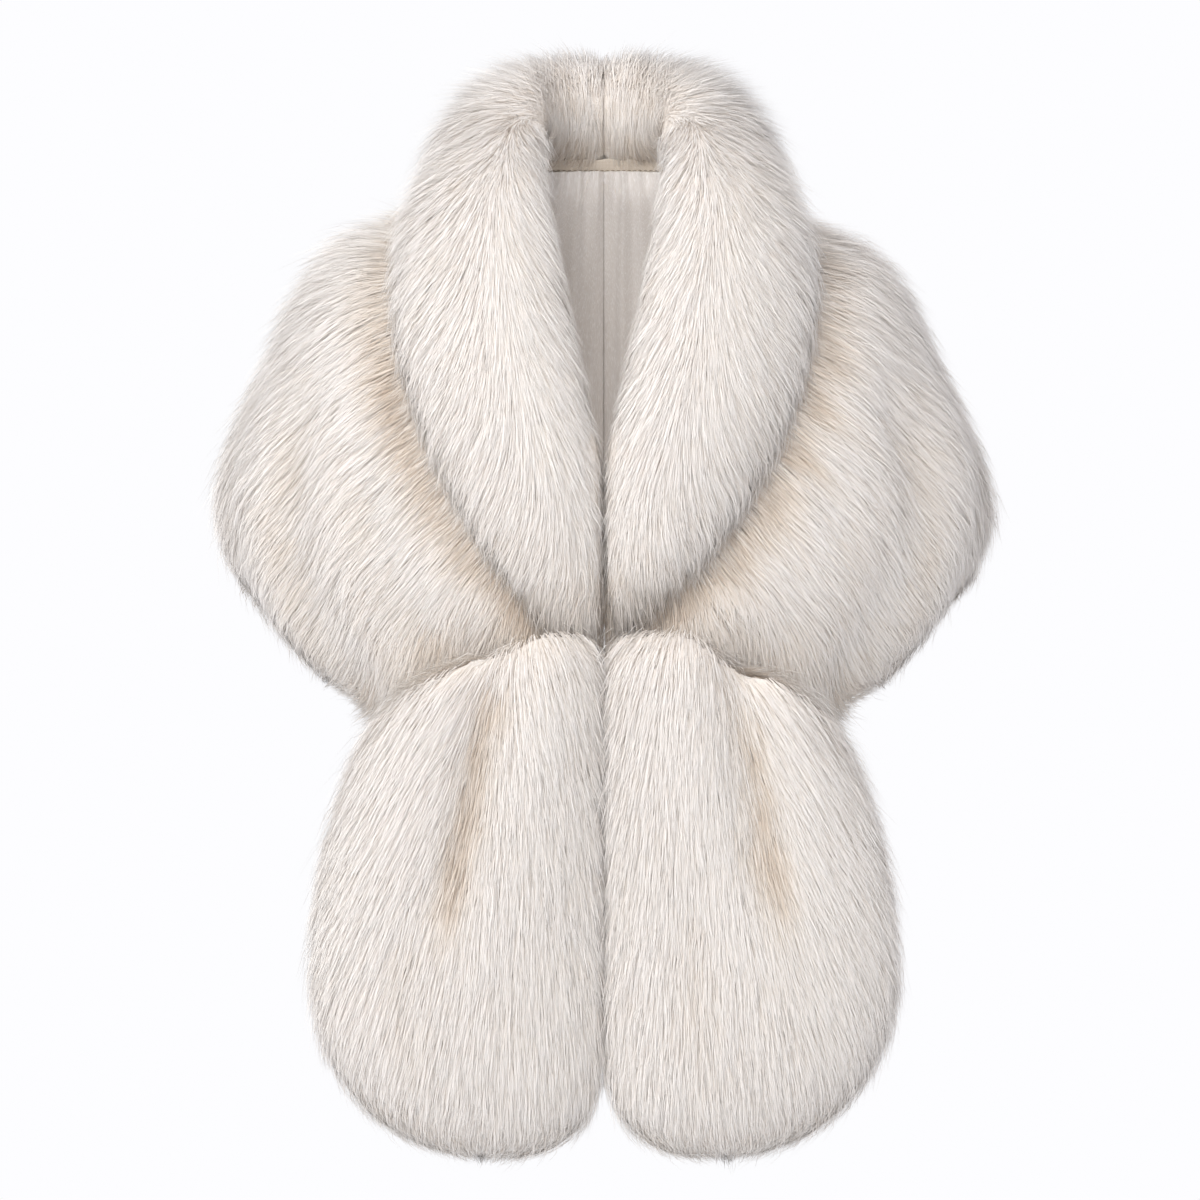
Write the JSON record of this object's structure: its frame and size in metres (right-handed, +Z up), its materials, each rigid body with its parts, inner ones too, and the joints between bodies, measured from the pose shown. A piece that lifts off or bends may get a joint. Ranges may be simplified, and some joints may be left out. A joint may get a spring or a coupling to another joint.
{
  "type": "fur collar wrap",
  "caption": "Shoulder wrap of long-pile faux fur, hollow as worn, with a shawl collar rolled round the neck, a satin back lining and broad rounded ends hanging in front.",
  "frame": {"origin": "on the neck's axis, level with the seam at the nape, where a wearer's neck and shoulders carry the wrap", "axes": "+Z up; the front faces -Y; +X is the wearer's left, on the right of a front view"},
  "size_m": [0.5916, 0.3424, 0.8322],
  "materials": {
    "fur": "long-pile faux fur, ivory with beige roots",
    "satin": "ivory polyester satin, soft sheen",
    "band": "beige twill band, matt"
  },
  "bodies": {
    "root": {"back_panel": "fur", "front_panel_left": "fur", "front_panel_right": "fur", "collar_left": "fur", "collar_right": "fur", "end_left": "fur", "end_right": "fur", "lining_left": "satin", "lining_right": "satin", "neck_band": "band"}
  },
  "joints": []
}
